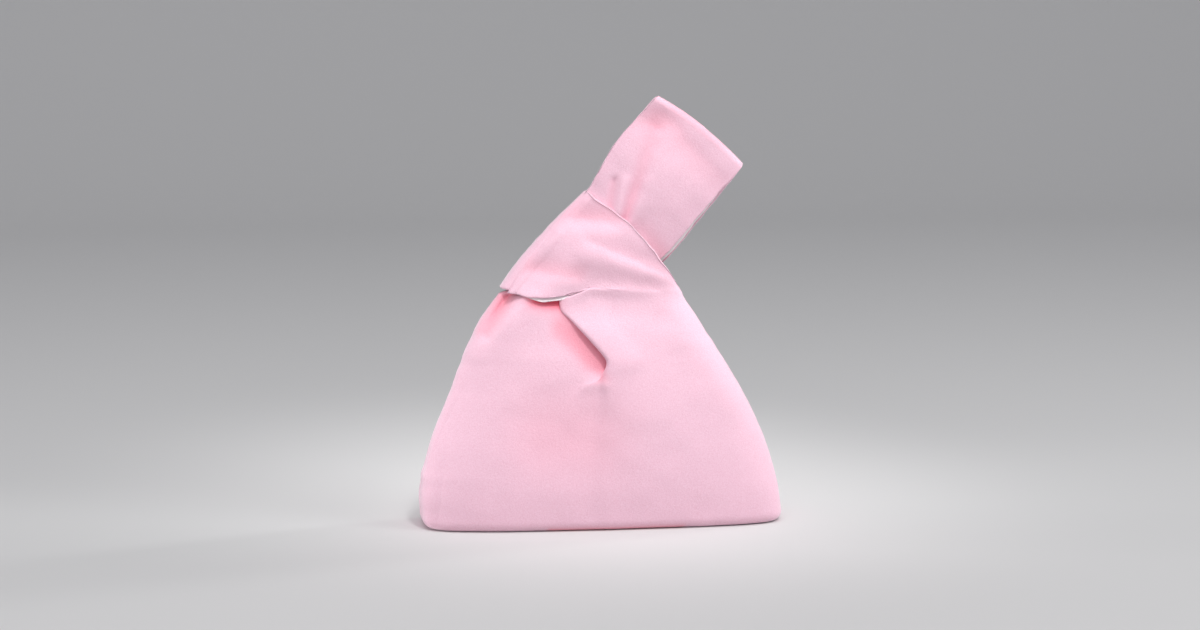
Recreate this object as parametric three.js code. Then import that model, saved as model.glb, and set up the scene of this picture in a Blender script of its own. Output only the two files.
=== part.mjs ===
// A knot bag in brushed cloth, standing filled with its long strap drawn through the short one.
// Two like panels, each cut in one with half of the long strap and half of the short strap, meet
// edge to edge along the base, the sides and the strap ends. A pale lining backs both straps.
// Millimetres: X runs across the bag, Y from front to back, Z up from the surface it stands on.
import * as THREE from 'three';

// Driving dimensions
const clothThickness = 1.6;
const liningThickness = 1.0;
const clearance = 0.3; // across a seam
const liningGap = 0.4; // between the cloth and the lining behind it
const liningSetback = 1.2; // how far the lining stops short of a strap's outer edge
const baseTurnRadius = 6.5; // where the base turns up into the wall
const baseSeamShare = 0.86; // length of the base seam against the footprint
const strapLoopDepth = 8.5; // half the gap between the long strap's two layers at its end
const strapLoopReach = 7; // how far the strap's end fold reaches past its flat length

// Grid of a panel: columns from the left seam to the right seam, rows from the base seam upwards
const leftColumns = 8;
const rightColumns = 9;
// Places of the pleat's columns in spreads from its middle, close together at its two turns
const pleatPlaces = [-3, -2.1, -1.5, -1.1, -0.85, -0.6, -0.3, 0, 0.3, 0.6, 0.85, 1.1, 1.5, 2.1, 3];
const turnPlace = 0.78; // the two turns, in spreads to either side of the middle
const turnSharpness = 6.5;
const pleatFade = 2.2; // spreads over which the pleat dies out beyond its turns
const longStrapColumn = leftColumns + pleatPlaces.indexOf(-1.1); // the long strap is left of this
const foldColumn = leftColumns + pleatPlaces.indexOf(0.85); // edge of the pleat
const creaseColumn = leftColumns + pleatPlaces.indexOf(1.5); // where the crease sets in
const lipColumn = leftColumns + pleatPlaces.indexOf(2.1); // middle of the mouth's lip
const shortStrapColumn = leftColumns + pleatPlaces.length - 1; // the short strap is right of this
const lastColumn = shortStrapColumn + rightColumns;
const baseShares = [0, 0.4, 0.75, 1]; // rows across the base, from the seam to the footprint's edge
const turnSteps = 4;
const wallRows = [22, 38, 55, 72, 88]; // heights of the plain rows
const upperFoot = 99; // from here the rows spread up to the rim, which isn't level
const upperSteps = 9;
const strapStepLength = 11; // spacing of the straps' rows
const endFoldShares = [0.3, 0.6, 0.85, 1]; // rows round the quarter turn at the long strap's end

// The filled body, a row for each height: side seams, depth of one panel, and how square the section is
const bodySections = [
  { z: 0, left: -126, right: 127.5, depth: 39, square: 5 },
  { z: 30, left: -125.8, right: 124, depth: 39.5, square: 3.4 },
  { z: 60, left: -118.2, right: 115.2, depth: 37, square: 2.7 },
  { z: 90, left: -106.7, right: 101, depth: 33, square: 2.4 },
  { z: 120, left: -95.3, right: 83, depth: 27, square: 2.3 },
  { z: 145, left: -83, right: 67, depth: 21.5, square: 2.2 },
  { z: 160, left: -72.5, right: 57.5, depth: 17.5, square: 2.2 },
];

// The pleat below the mouth: x of its edge, spread and tuck of its turns, how far its right side stands
// proud of the body and how far its left side is sunk
const pleatSections = [
  { z: 0, edge: -8, spread: 17, tuck: 0, proud: 0, sunk: 0 },
  { z: 55, edge: -6, spread: 14, tuck: 0, proud: 0.6, sunk: 0.4 },
  { z: 88, edge: -3, spread: 9, tuck: 0, proud: 1.5, sunk: 1.5 },
  { z: 105, edge: -1.5, spread: 6.5, tuck: 2, proud: 3.5, sunk: 4.5 },
  { z: 118, edge: -0.5, spread: 5.5, tuck: 9, proud: 4, sunk: 6 },
  { z: 132, edge: -10.5, spread: 5.5, tuck: 10, proud: 4, sunk: 5.5 },
  { z: 147, edge: -24.5, spread: 5.5, tuck: 10, proud: 4, sunk: 5.5 },
  { z: 160, edge: -32, spread: 5.5, tuck: 9.5, proud: 5, sunk: 5 },
];

// Soft ridges (rise above 0) and hollows on the body, each along a line from a to b
const frontFolds = [
  { ax: -56, az: 156, bx: -88, bz: 127, width: 6, rise: 2 }, // edge of the left side face
  { ax: -46, az: 58, bx: -30, bz: 88, width: 40, rise: -4 }, // slack in the middle
  { ax: 44, az: 152, bx: 92, bz: 88, width: 15, rise: 2 }, // fullness along the right side
];
const backFolds = [
  { ax: -50, az: 152, bx: -84, bz: 120, width: 9, rise: 1.5 },
  { ax: -34, az: 48, bx: -30, bz: 92, width: 36, rise: -4 },
  { ax: 40, az: 150, bx: 80, bz: 96, width: 18, rise: 1.5 },
];
// The same on the short strap
const shortStrapFolds = [
  { ax: -2, az: 197, bx: 42, bz: 179, width: 9, rise: 2 }, // drawn from the turn to the right shoulder
  { ax: -44, az: 175, bx: 36, bz: 166, width: 8, rise: -1.5 }, // hollow above the crease
];

// The mouth's rim, where the body ends and the straps begin
const rimAtLeft = 159;
const rimAtPleat = 157;
const rimAtLip = 158.5; // on the mouth's front lip
const rimAtNotch = 166; // where the short strap parts from that lip
const rimAtRight = 161;
const creaseAtNotch = 4.5; // depth of the crease across the foot of the short strap
const creaseAtRight = 1;
const creaseHeight = 13; // how far below the rim it starts to turn in

// The long strap, a row for each section: outer edge, inner edge, the crown between them and how far
// the back layer slips sideways from under the front one
const longStrapSections = [
  { outerX: -58, outerZ: 168.5, outerY: 3, innerX: 2, innerZ: 160, innerY: 7.5, crown: 3, slip: 2 },
  { outerX: -37, outerZ: 196, outerY: 4.5, innerX: 25, innerZ: 169.5, innerY: 7, crown: 2.5, slip: 4 },
  { outerX: -4, outerZ: 235, outerY: 4.5, innerX: 42.5, innerZ: 184, innerY: 7, crown: 1.5, slip: 5 },
  { outerX: -2, outerZ: 246.5, outerY: 6, innerX: 54, innerZ: 194.8, innerY: 7.5, crown: 2, slip: 4.5 },
  { outerX: 10, outerZ: 267, outerY: 7, innerX: 72.2, innerZ: 215.7, innerY: 8, crown: 3, slip: 3.5 },
];
const strapEnd = { outerX: 38.2, outerZ: 299, innerX: 100.8, innerZ: 250.5, bow: 3, slip: 2.5 };
const squeezedSection = 2; // where the long strap comes out of the short one
// Gathers where the short strap squeezes the long one: place and width as shares across, rise and reach
const strapGathers = [
  { across: 0.24, width: 0.07, rise: 2, reach: 30 },
  { across: 0.36, width: 0.06, rise: -2.6, reach: 52 },
  { across: 0.5, width: 0.12, rise: 1.4, reach: 70 },
];

// The short strap, a row for each section from the crease to the turn round the long strap
const shortStrapSections = [
  { innerX: -31, innerZ: 164, innerY: 18.5, outerX: 42.5, outerZ: 183.5, outerY: 13, crown: 1.5 },
  { innerX: -49, innerZ: 161, innerY: 17.5, outerX: 18, outerZ: 212, outerY: 14, crown: 2.5 },
];
// Its turn: the line where it starts to curl and the line that it reaches furthest left
const curlLine = { lowX: -61.5, lowZ: 163.5, topX: -5.6, topZ: 229.2, lowY: 13, topY: 10.5, crown: 2 };
const tipLine = { lowX: -69.8, lowZ: 166, topX: -9.8, topZ: 234.5 };
// How far the turn swells out past the straight tip line, more at its low end than at its top
const turnBow = { low: 3.1, top: 1.7, rise: 0.8 };
// The two halves meet at this many degrees round from the tip to the front
const endSeamLow = 68;
const endSeamTop = -35;
const endSeamClearance = 1.6;

const clothMaterial = new THREE.MeshStandardMaterial({ color: 0xf6c8d8, roughness: 0.95, metalness: 0 });
const liningMaterial = new THREE.MeshStandardMaterial({ color: 0xf5efee, roughness: 0.9, metalness: 0 });

const { lerp, clamp, smoothstep, degToRad } = THREE.MathUtils;

// Value at t of a smooth curve through the points (knots[i], values[i])
function smoothThrough(knots, values, t) {
  const last = knots.length - 1;
  const slopeAt = (i) => {
    const before = Math.max(i - 1, 0);
    const after = Math.min(i + 1, last);
    return (values[after] - values[before]) / (knots[after] - knots[before]);
  };
  let k = 0;
  while (k < last - 1 && t > knots[k + 1]) k += 1;
  const span = knots[k + 1] - knots[k];
  const s = clamp((t - knots[k]) / span, 0, 1);
  const ease = s * s * (3 - 2 * s);
  const leave = s * (1 - s) * (1 - s) * span * slopeAt(k);
  const arrive = s * s * (s - 1) * span * slopeAt(k + 1);
  return lerp(values[k], values[k + 1], ease) + leave + arrive;
}

// All columns of a table whose rows have heights z, read at one height
function readTable(table, z) {
  const heights = table.map((row) => row.z);
  const names = Object.keys(table[0]).filter((name) => name !== 'z');
  const read = (name) => smoothThrough(heights, table.map((row) => row[name]), z);
  return Object.fromEntries(names.map((name) => [name, read(name)]));
}

// Sideways travel of the pleat: back and forth once, and fading on both sides
function pleatTravel(place) {
  return place * Math.exp((1 - place * place) / 2);
}

// Outward travel of the pleat: its layers lie flat and part at the two turns
function pleatOffset(place, proud, sunk) {
  const turned = (distance) => 1 / (1 + Math.exp(-turnSharpness * distance));
  const fade = Math.exp(-((Math.max(Math.abs(place) - 1, 0) / pleatFade) ** 2));
  return fade * (proud * turned(place - turnPlace) - sunk * turned(-turnPlace - place));
}

// Outward rise of the soft folds at a place on the body
function foldRise(folds, x, z) {
  return folds.reduce((sum, fold) => {
    const a = new THREE.Vector3(fold.ax, fold.az, 0);
    const b = new THREE.Vector3(fold.bx, fold.bz, 0);
    const place = new THREE.Vector3(x, z, 0);
    const nearest = new THREE.Line3(a, b).closestPointToPoint(place, true, new THREE.Vector3());
    return sum + fold.rise * Math.exp(-((place.distanceTo(nearest) / fold.width) ** 2));
  }, 0);
}

// Height of the rim at a column
function rimHeight(column) {
  const columns = [0, longStrapColumn, foldColumn, lipColumn, shortStrapColumn, lastColumn];
  const heights = [rimAtLeft, rimAtPleat, rimAtPleat, rimAtLip, rimAtNotch, rimAtRight];
  const k = columns.findIndex((limit, i) => i > 0 && column <= limit);
  return lerp(heights[k - 1], heights[k], (column - columns[k - 1]) / (columns[k] - columns[k - 1]));
}

// Depth of the crease across the foot of the short strap, at a column and height
function creaseAt(column, z) {
  const rim = rimHeight(column);
  const alongCrease = clamp((column - shortStrapColumn) / rightColumns, 0, 1);
  const depth = lerp(creaseAtNotch, creaseAtRight, alongCrease);
  return depth * smoothstep(column, creaseColumn, shortStrapColumn) * smoothstep(z, rim - creaseHeight, rim);
}

// A point of a panel's body at a column and height. The inset shrinks the section towards its middle.
function bodyPoint(panel, column, z, inset = 0) {
  const section = readTable(bodySections, z);
  const pleat = readTable(pleatSections, z);
  const middle = (section.left + section.right) / 2;
  const halfWidth = (section.right - section.left) / 2 - inset;
  const depth = section.depth - inset;
  const pleatMiddle = pleat.edge + pleat.tuck * pleatTravel(turnPlace) - turnPlace * pleat.spread;
  const power = 2 / section.square;
  const angleTo = (x) => Math.acos(Math.abs((x - middle) / halfWidth) ** (1 / power) * Math.sign(middle - x));
  const leftLimit = angleTo(pleatMiddle + pleatPlaces[0] * pleat.spread);
  const rightLimit = angleTo(pleatMiddle + pleatPlaces.at(-1) * pleat.spread);

  let flatX; // place across before the pleat is tucked
  let wall; // distance from the middle plane
  const onCurve = (angle) => {
    flatX = middle - halfWidth * Math.abs(Math.cos(angle)) ** power * Math.sign(Math.cos(angle));
    wall = depth * Math.sin(angle) ** power;
  };
  if (column < leftColumns) {
    onCurve(leftLimit * (column / leftColumns));
  } else if (column > shortStrapColumn) {
    onCurve(lerp(rightLimit, Math.PI, (column - shortStrapColumn) / rightColumns));
  } else {
    flatX = pleatMiddle + pleat.spread * pleatPlaces[column - leftColumns];
    onCurve(angleTo(flatX));
  }
  if (column === 0 || column === lastColumn) wall = 0;

  const place = (flatX - pleatMiddle) / pleat.spread;
  const share = clamp(wall / depth, 0, 1); // folds and pleat die out at the side seams
  const x = flatX - pleat.tuck * pleatTravel(place);
  const tucked = pleatOffset(place, pleat.proud, pleat.sunk);
  const out = wall + share * (tucked + foldRise(panel.folds, flatX, z) - creaseAt(column, z));
  return new THREE.Vector3(x, panel.side * Math.max(out, clearance / 2), z);
}

// Rows of a panel's body from the base seam up to the rim
function bodyRows(panel) {
  const columns = Array.from({ length: lastColumn + 1 }, (_, column) => column);
  const floor = clothThickness / 2;
  const rows = baseShares.map((share) => columns.map((column) => {
    const point = bodyPoint(panel, column, 0, baseTurnRadius);
    const y = panel.side * Math.max(Math.abs(point.y) * share, clearance / 2);
    return new THREE.Vector3(point.x * lerp(baseSeamShare, 1, share), y, floor);
  }));
  for (let step = 1; step <= turnSteps; step += 1) {
    const angle = (step / turnSteps) * (Math.PI / 2);
    const z = floor + baseTurnRadius * (1 - Math.cos(angle));
    const inset = baseTurnRadius * (1 - Math.sin(angle));
    rows.push(columns.map((column) => bodyPoint(panel, column, z, inset)));
  }
  wallRows.forEach((z) => rows.push(columns.map((column) => bodyPoint(panel, column, z))));
  for (let step = 0; step <= upperSteps; step += 1) {
    const heightAt = (column) => lerp(upperFoot, rimHeight(column), step / upperSteps);
    rows.push(columns.map((column) => bodyPoint(panel, column, heightAt(column))));
  }
  return rows;
}

// Points across a strap between its two edges, with the crown as an arch between them
function acrossStrap(side, start, end, crown, shares, rise = () => 0) {
  return shares.map((share) => {
    const point = start.clone().lerp(end, share);
    point.y = side * (point.y + crown * 4 * share * (1 - share) + rise(share));
    return point;
  });
}

// Rows spread evenly along smooth curves through the given sections. The first section only sets the
// direction in which the strap leaves the second, where the rows start.
function rowsThrough(sections) {
  const columns = sections[0].map((_, column) => column);
  const knots = [0];
  for (let k = 1; k < sections.length; k += 1) {
    const gaps = columns.map((column) => sections[k][column].distanceTo(sections[k - 1][column]));
    knots.push(knots[k - 1] + gaps.reduce((sum, gap) => sum + gap, 0) / gaps.length);
  }
  const rows = [sections[1]];
  for (let k = 1; k < sections.length - 1; k += 1) {
    const steps = Math.max(1, Math.round((knots[k + 1] - knots[k]) / strapStepLength));
    for (let step = 1; step <= steps; step += 1) {
      const t = lerp(knots[k], knots[k + 1], step / steps);
      rows.push(columns.map((column) => {
        const along = (axis) => smoothThrough(knots, sections.map((section) => section[column][axis]), t);
        return new THREE.Vector3(along('x'), along('y'), along('z'));
      }));
    }
  }
  return rows;
}

// Shares of the way across a strap, spaced as its columns are on the section that it starts from
function sharesOf(section) {
  const lengths = [0];
  for (let j = 1; j < section.length; j += 1) {
    lengths.push(lengths[j - 1] + section[j].distanceTo(section[j - 1]));
  }
  return lengths.map((length) => length / lengths.at(-1));
}

// Half of the long strap, from the rim up through the short strap to the fold at its end
function longStrapRows(panel, body) {
  const base = body.slice(-2).map((row) => row.slice(0, longStrapColumn + 1));
  const shares = sharesOf(base[1]);
  const outerEnd = new THREE.Vector3(strapEnd.outerX, 0, strapEnd.outerZ);
  const innerEnd = new THREE.Vector3(strapEnd.innerX, 0, strapEnd.innerZ);
  const across = innerEnd.clone().sub(outerEnd).normalize();
  const along = across.clone().cross(new THREE.Vector3(0, 1, 0));
  const slipOf = (row) => (panel.side > 0 ? row.slip : 0);
  const middleOf = ({ outerX, innerX, outerZ, innerZ }) =>
    new THREE.Vector2(outerX + innerX, outerZ + innerZ).divideScalar(2);
  const squeezed = middleOf(longStrapSections[squeezedSection]);
  const sections = longStrapSections.map((row) => {
    const rise = (share) => strapGathers.reduce((sum, gather) => {
      const fade = Math.exp(-((middleOf(row).distanceTo(squeezed) / gather.reach) ** 2));
      return sum + gather.rise * fade * Math.exp(-(((share - gather.across) / gather.width) ** 2));
    }, 0);
    const outer = new THREE.Vector3(row.outerX, row.outerY, row.outerZ).addScaledVector(across, slipOf(row));
    const inner = new THREE.Vector3(row.innerX, row.innerY, row.innerZ).addScaledVector(across, slipOf(row));
    return acrossStrap(panel.side, outer, inner, row.crown, shares, rise);
  });
  const endRow = (angle) => {
    const shift = across.clone().multiplyScalar(slipOf(strapEnd) * Math.cos(angle));
    shift.addScaledVector(along, strapLoopReach * (Math.sin(angle) - 1));
    shift.y = Math.max(strapLoopDepth * Math.cos(angle), clearance / 2);
    const row = acrossStrap(panel.side, outerEnd.clone().add(shift), innerEnd.clone().add(shift), 0, shares);
    const bowAt = (share) => strapEnd.bow * 4 * share * (1 - share);
    return row.map((point, j) => point.addScaledVector(along, bowAt(shares[j])));
  };
  const rows = rowsThrough([...base, ...sections, endRow(0)]);
  return [...rows, ...endFoldShares.map((share) => endRow(share * (Math.PI / 2)))];
}

// A row of the short strap's turn round the long strap: 90 degrees is its own face, 0 the far left tip
function turnRow(side, shares, angleLow, angleTop) {
  return shares.map((share) => {
    const arch = 4 * share * (1 - share);
    const angle = degToRad(lerp(angleLow, angleTop, share));
    const curlX = lerp(curlLine.lowX, curlLine.topX, share);
    const curlZ = lerp(curlLine.lowZ, curlLine.topZ, share);
    const swell = arch * lerp(turnBow.low, turnBow.top, share);
    const tipX = lerp(tipLine.lowX, tipLine.topX, share) - swell;
    const tipZ = lerp(tipLine.lowZ, tipLine.topZ, share) + swell * turnBow.rise;
    const depth = lerp(curlLine.lowY, curlLine.topY, share) + curlLine.crown * arch;
    const x = lerp(curlX, tipX, Math.cos(angle));
    const z = lerp(curlZ, tipZ, Math.cos(angle));
    return new THREE.Vector3(x, side * depth * Math.sin(angle), z);
  });
}

// Half of the short strap, from the crease at the rim round to the seam at its end
function shortStrapRows(panel, body) {
  const base = body.slice(-2).map((row) => row.slice(shortStrapColumn));
  const shares = sharesOf(base[1]);
  const sections = shortStrapSections.map((row) => {
    const inner = new THREE.Vector3(row.innerX, row.innerY, row.innerZ);
    const outer = new THREE.Vector3(row.outerX, row.outerY, row.outerZ);
    return acrossStrap(panel.side, inner, outer, row.crown, shares);
  });
  const rows = rowsThrough([...base, ...sections, turnRow(panel.side, shares, 90, 90)]);
  for (const point of rows.slice(1).flat()) {
    point.y += panel.side * foldRise(shortStrapFolds, point.x, point.z);
  }
  const endLow = -panel.side * endSeamLow + endSeamClearance;
  const endTop = -panel.side * endSeamTop + endSeamClearance;
  for (let step = 1; step <= panel.turnSteps; step += 1) {
    const share = step / panel.turnSteps;
    rows.push(turnRow(panel.side, shares, lerp(90, endLow, share), lerp(90, endTop, share)));
  }
  return rows;
}

// Corner indices of the squares between rows of points that are numbered one after another
function squaresBetween(numberedRows) {
  const squares = [];
  for (let i = 1; i < numberedRows.length; i += 1) {
    for (let j = 1; j < numberedRows[i].length; j += 1) {
      const [low, high] = [numberedRows[i - 1], numberedRows[i]];
      squares.push([low[j - 1], low[j], high[j], high[j - 1]]);
    }
  }
  return squares;
}

// A closed sheet between two distances from a surface, along its outward normals
function sheetGeometry(points, squares, side, inner, outer) {
  const triangles = squares.flatMap(([a, b, c, d]) => (side < 0 ? [a, b, c, a, c, d] : [a, c, b, a, d, c]));
  const surface = new THREE.BufferGeometry().setFromPoints(points).setIndex(triangles);
  surface.computeVertexNormals();
  const normals = points.map((point, i) => {
    const normal = new THREE.Vector3().fromBufferAttribute(surface.attributes.normal, i);
    if (Math.abs(point.y) < clearance) normal.setY(0); // square to the seam
    return normal.normalize();
  });
  const shifted = (distance) => points.map((point, i) => point.clone().addScaledVector(normals[i], distance));
  const count = points.length;
  const faces = [...triangles];
  for (let k = 0; k < triangles.length; k += 3) {
    faces.push(triangles[k] + count, triangles[k + 2] + count, triangles[k + 1] + count);
  }
  const edges = new Map();
  for (let k = 0; k < triangles.length; k += 1) {
    const a = triangles[k];
    const b = triangles[k % 3 === 2 ? k - 2 : k + 1];
    if (!edges.delete(`${b} ${a}`)) edges.set(`${a} ${b}`, [a, b]);
  }
  for (const [a, b] of edges.values()) faces.push(a, a + count, b + count, a, b + count, b);
  return new THREE.BufferGeometry().setFromPoints([...shifted(outer), ...shifted(inner)]).setIndex(faces);
}

// One cut panel: the body with its halves of the two straps
function panelGeometry(panel, body, longStrap, shortStrap) {
  const points = [];
  const numbered = (rows) => rows.map((row) => row.map((point) => points.push(point) - 1));
  const bodyNumbers = numbered(body);
  const rim = bodyNumbers.at(-1);
  const longNumbers = [rim.slice(0, longStrapColumn + 1), ...numbered(longStrap.slice(1))];
  const shortNumbers = [rim.slice(shortStrapColumn), ...numbered(shortStrap.slice(1))];
  const squares = [bodyNumbers, longNumbers, shortNumbers].flatMap(squaresBetween);
  return sheetGeometry(points, squares, panel.side, -clothThickness / 2, clothThickness / 2);
}

// The lining behind one half of a strap, a row short of its end seam. The inner edge is its first column,
// 0, or its last, -1, and the lip is how far the lining reaches past the cloth there.
function liningGeometry(panel, rows, innerEdge, lip) {
  const past = (edge, beside, distance) => {
    const outwards = edge.clone().sub(beside).normalize();
    return edge.clone().addScaledVector(outwards, distance);
  };
  const trimmed = rows.slice(0, -1).map((row) => {
    const inner = past(row.at(innerEdge), row.at(innerEdge === 0 ? 1 : -2), lip);
    const outer = past(row.at(-1 - innerEdge), row.at(innerEdge === 0 ? -2 : 1), -liningSetback);
    const between = row.slice(1, -1);
    return innerEdge === 0 ? [inner, ...between, outer] : [outer, ...between, inner];
  });
  const points = trimmed.flat();
  const width = trimmed[0].length;
  const numbers = trimmed.map((row, i) => row.map((_, j) => i * width + j));
  const outer = -clothThickness / 2 - liningGap;
  return sheetGeometry(points, squaresBetween(numbers), panel.side, outer - liningThickness, outer);
}

// The front half of the short strap stops at the end seam. The back half goes on round the tip to meet it.
const panels = [
  { name: 'front', side: -1, folds: frontFolds, turnSteps: 4, longLip: 0.9, shortLip: 1.2 },
  { name: 'back', side: 1, folds: backFolds, turnSteps: 6, longLip: -3, shortLip: -1 },
];

const knotBag = new THREE.Group();
function addPiece(name, geometry, material) {
  const piece = new THREE.Mesh(geometry, material);
  piece.name = name;
  knotBag.add(piece);
}
for (const panel of panels) {
  const body = bodyRows(panel);
  const longStrap = longStrapRows(panel, body);
  const shortStrap = shortStrapRows(panel, body);
  const longLining = liningGeometry(panel, longStrap.slice(1), -1, panel.longLip); // from a row above the rim
  const shortLining = liningGeometry(panel, shortStrap, 0, panel.shortLip);
  addPiece(`${panel.name}_panel`, panelGeometry(panel, body, longStrap, shortStrap), clothMaterial);
  addPiece(`${panel.name}_long_lining`, longLining, liningMaterial);
  addPiece(`${panel.name}_short_lining`, shortLining, liningMaterial);
}

export default knotBag;
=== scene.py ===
# Knot bag in brushed pink cloth, standing filled, its long strap drawn through the short one.
# Sizes are millimetres in the bag's own frame: x across, y from front to back, z up.
import bpy
import numpy as np
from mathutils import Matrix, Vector


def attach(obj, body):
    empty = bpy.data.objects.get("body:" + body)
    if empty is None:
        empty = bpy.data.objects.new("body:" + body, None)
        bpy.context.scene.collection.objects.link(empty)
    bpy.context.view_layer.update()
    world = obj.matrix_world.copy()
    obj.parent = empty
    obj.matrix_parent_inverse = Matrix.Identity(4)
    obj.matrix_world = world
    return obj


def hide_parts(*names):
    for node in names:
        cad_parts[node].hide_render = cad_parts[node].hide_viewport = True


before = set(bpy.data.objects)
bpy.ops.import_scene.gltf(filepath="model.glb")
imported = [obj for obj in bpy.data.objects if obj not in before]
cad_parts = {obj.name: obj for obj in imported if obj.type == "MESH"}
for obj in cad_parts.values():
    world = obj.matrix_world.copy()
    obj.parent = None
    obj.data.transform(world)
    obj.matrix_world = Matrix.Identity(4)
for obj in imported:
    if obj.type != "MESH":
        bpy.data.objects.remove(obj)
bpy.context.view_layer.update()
print("frame loaded with", len(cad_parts), "nodes")

toMetres = 0.001
lattice = np.random.default_rng(7).uniform(-1, 1, (64, 64))  # seeded values for the small unevenness
wobble = dict(
    cell=13, rise=0.35,  # in and out of the cloth
    edgeCell=6, edge=0.4,  # in the cloth's own plane
    leadRows=6,  # rows over which that grows where a strap leaves the rim
    otherSeam=40,  # where the right side seam reads the noise that the left one reads at 0
)
facetSharp = 7  # how sharply a fold's facet ends
leastAway = 1e-6  # so that a point on a fold's own line doesn't divide by 0


def smoothThrough(knots, values, t):
    # Cubic through the points: between knots the values blend by 3s^2 - 2s^3, and each knot is passed
    # at the slope between its two neighbours.
    knots, values, t = np.asarray(knots, float), np.asarray(values, float), np.asarray(t, float)
    last = len(knots) - 1
    before = np.maximum(np.arange(last + 1) - 1, 0)
    after = np.minimum(np.arange(last + 1) + 1, last)
    deep = (1,) * (values.ndim - 1)
    slopes = (values[after] - values[before]) / (knots[after] - knots[before]).reshape((-1,) + deep)
    k = np.clip(np.searchsorted(knots, t) - 1, 0, last - 1)
    span = (knots[k + 1] - knots[k]).reshape(t.shape + deep)
    s = np.clip((t - knots[k]) / (knots[k + 1] - knots[k]), 0, 1).reshape(t.shape + deep)
    ease = s * s * (3 - 2 * s)
    leave = s * (1 - s) ** 2 * span * slopes[k]
    arrive = s * s * (s - 1) * span * slopes[k + 1]
    return values[k] * (1 - ease) + values[k + 1] * ease + leave + arrive


def smoothStep(x, low, high):
    # 3s^2 - 2s^3 between low and high, 0 before and 1 after
    s = np.clip((x - low) / (high - low), 0, 1)
    return s * s * (3 - 2 * s)


def arch(share):
    # Parabola that is 0 at both ends and 1 in the middle
    return 4 * share * (1 - share)


def softNoise(x, z, cell):
    # Seeded values on a square lattice, blended by 3s^2 - 2s^3 between its corners
    i, j = np.floor(x / cell), np.floor(z / cell)
    s, t = smoothStep(x / cell - i, 0, 1), smoothStep(z / cell - j, 0, 1)
    at = lambda a, b: lattice[(i + a).astype(int) % len(lattice), (j + b).astype(int) % len(lattice)]
    low = at(0, 0) * (1 - s) + at(1, 0) * s
    high = at(0, 1) * (1 - s) + at(1, 1) * s
    return low * (1 - t) + high * t


# A fold is a dictionary. It lies along a line from a to b in x and z, with its widths on the line's left and
# right sides; tail is the share of the widths that is left at b. Rise is out of the cloth for a ridge and
# into it for a trough; start and end are the shares of it at a and b. Shade is painted shade, deepening
# the colour there for the fold's shade. Flat squares off the top, and a facet is a flat slope.
def foldField(folds, x, z):
    # For each fold rise * profile(u), with u the distance to its line over its width there. The profile is
    # exp(-u^2), or flat-topped exp(-u^flat), or for a facet the straight ramp ln(1 + e^(k(1 - u))) / k, which
    # has a soft edge at u = 1. The width turns evenly from left to right round the line's ends. The painted
    # shade adds up the same way.
    rise = np.zeros(np.broadcast(x, z).shape)
    paintedShade = np.zeros_like(rise)
    for fold in folds:
        (ax, az), (bx, bz) = fold["a"], fold["b"]
        runX, runZ = bx - ax, bz - az
        share = np.clip(((x - ax) * runX + (z - az) * runZ) / (runX**2 + runZ**2), 0, 1)
        offX, offZ = x - ax - share * runX, z - az - share * runZ
        away = np.hypot(offX, offZ)
        turn = (runX * offZ - runZ * offX) / (np.hypot(runX, runZ) * np.maximum(away, leastAway))
        width = (fold["left"] * (1 + turn) + fold["right"] * (1 - turn)) / 2
        u = away / (width * (1 + (fold.get("tail", 1) - 1) * share))
        if fold.get("facet"):
            profile = np.log1p(np.exp(facetSharp * (1 - u))) / facetSharp
        else:
            profile = np.exp(-u ** fold.get("flat", 2))
        start, end = fold.get("start", 1), fold.get("end", 1)
        along = start + (end - start) * share
        rise += fold["rise"] * profile * along
        paintedShade += fold.get("paintedShade", 0) * profile * along
    return rise, paintedShade


# Columns run across a panel from its left seam to its right seam, in the same counts as the cut pattern
pattern = dict(
    left=8,  # plain columns left of the pleat
    right=9,  # plain columns right of it
    pleat=[-3, -2.1, -1.5, -1.1, -0.85, -0.6, -0.3, 0, 0.3, 0.6, 0.85, 1.1, 1.5, 2.1, 3],  # places in spreads
    longStrap=11,  # the long strap is left of this column
    foldEdge=18,
    crease=20,
    shortStrap=22,  # the short strap is right of this column
    last=31,
    finerPlain=9,  # fine columns for each plain one
    finerPleat=4,
)

bagBody = dict(
    height=[0, 30, 60, 90, 120, 145, 160, 168],
    left=[-126, -125.8, -118.2, -106.7, -95.3, -83, -72.5, -67],  # side seams
    right=[127.5, 124, 115.2, 101, 83, 67, 57.5, 57.5],
    depth=[39, 39.5, 37, 33, 27, 21.5, 17.5, 17.5],  # of one panel
    square=[5, 3.4, 2.7, 2.4, 2.3, 2.2, 2.2, 2.2],  # how square the section is
    cloth=1.6,  # thickness
    seamGap=0.3,
    foldFade=14,  # depth of wall over which folds and pleat die out at the side seams
    seamTight=0.4,  # how round the cloth turns in at a seam
    baseTurn=6.5,
    baseSeam=0.86,  # length of the base seam against the footprint
    baseRows=16,
    turnRows=9,
    wallRows=50,
    upperFoot=99,  # from here up the rows spread to the uneven rim
    upperRows=42,
    strapLead=1 / 9,  # share of the upper part that sets how the straps leave the rim
)

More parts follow.
